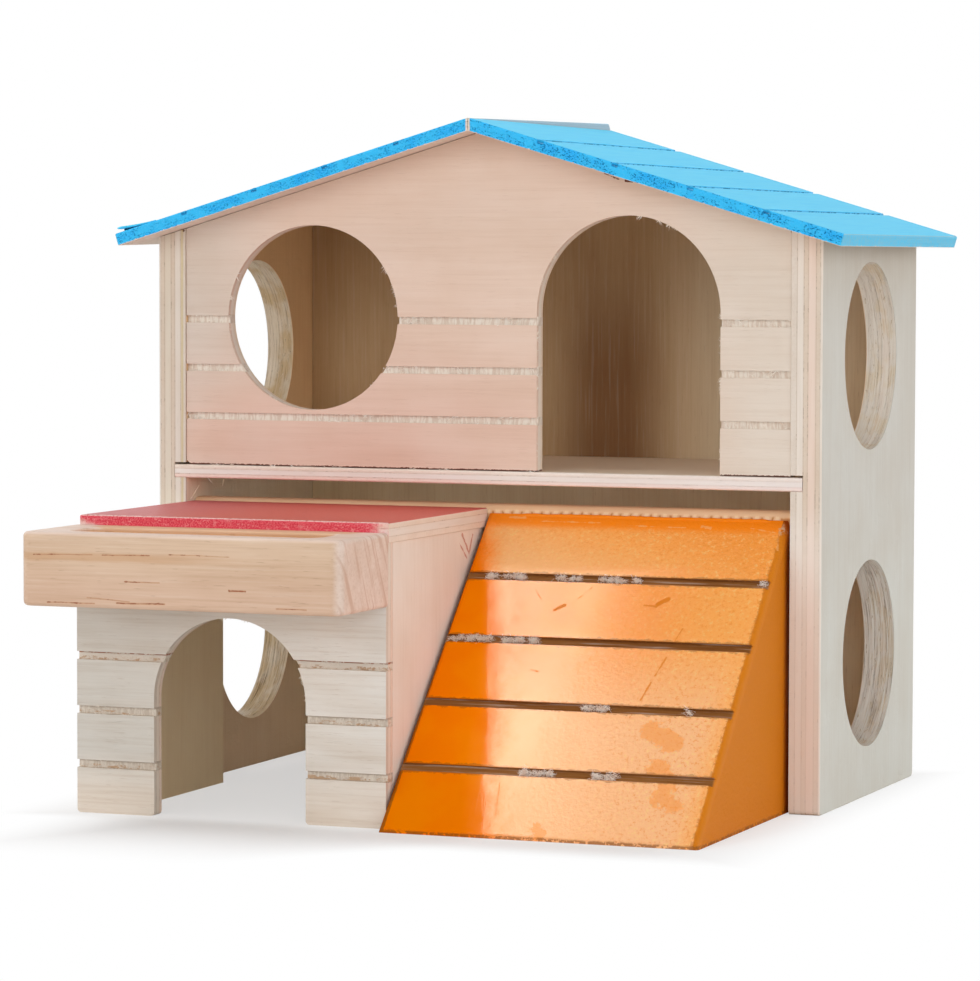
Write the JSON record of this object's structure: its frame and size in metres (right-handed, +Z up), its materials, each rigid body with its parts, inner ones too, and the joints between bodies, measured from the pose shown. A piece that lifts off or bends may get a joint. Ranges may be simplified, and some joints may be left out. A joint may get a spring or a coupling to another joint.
{
  "type": "small-animal house",
  "caption": "Two-storey wooden house for a hamster: gabled roof, round and arched openings, a porch that carries a feeding trough, and a solid grooved ramp.",
  "frame": {"origin": "on the ground, under the centre of the whole house's bounding box", "axes": "+X to the right as seen from the front, +Y from the front to the back, +Z up"},
  "size_m": [0.1595, 0.1526, 0.1414],
  "materials": {
    "side_ply": "raw sanded plywood, pale grey-beige, satin",
    "shelf_ply": "raw sanded plywood, satin",
    "facade_ply": "raw sanded plywood, pink-beige, satin",
    "porch_ply": "raw sanded plywood, grey-beige, satin",
    "pine": "raw planed pine, satin, with brown resin streaks",
    "blue_paint": "sky-blue paint on plywood, satin, bare underneath",
    "red_paint": "red paint on plywood, rough at its front edge, bare at its ends",
    "orange_lacquer": "orange gloss lacquer on solid wood, worn at its edges"
  },
  "bodies": {
    "root": {"left_wall": "side_ply", "right_wall": "side_ply", "back_wall": "side_ply", "shelf": "shelf_ply", "front_wall": "facade_ply", "front_rail": "pine", "roof_left": "blue_paint", "roof_right": "blue_paint", "porch_front": "porch_ply", "porch_left_side": "facade_ply", "porch_right_side": "facade_ply", "porch_roof": "red_paint", "feeding_trough": "pine", "ramp": "orange_lacquer"}
  },
  "joints": []
}
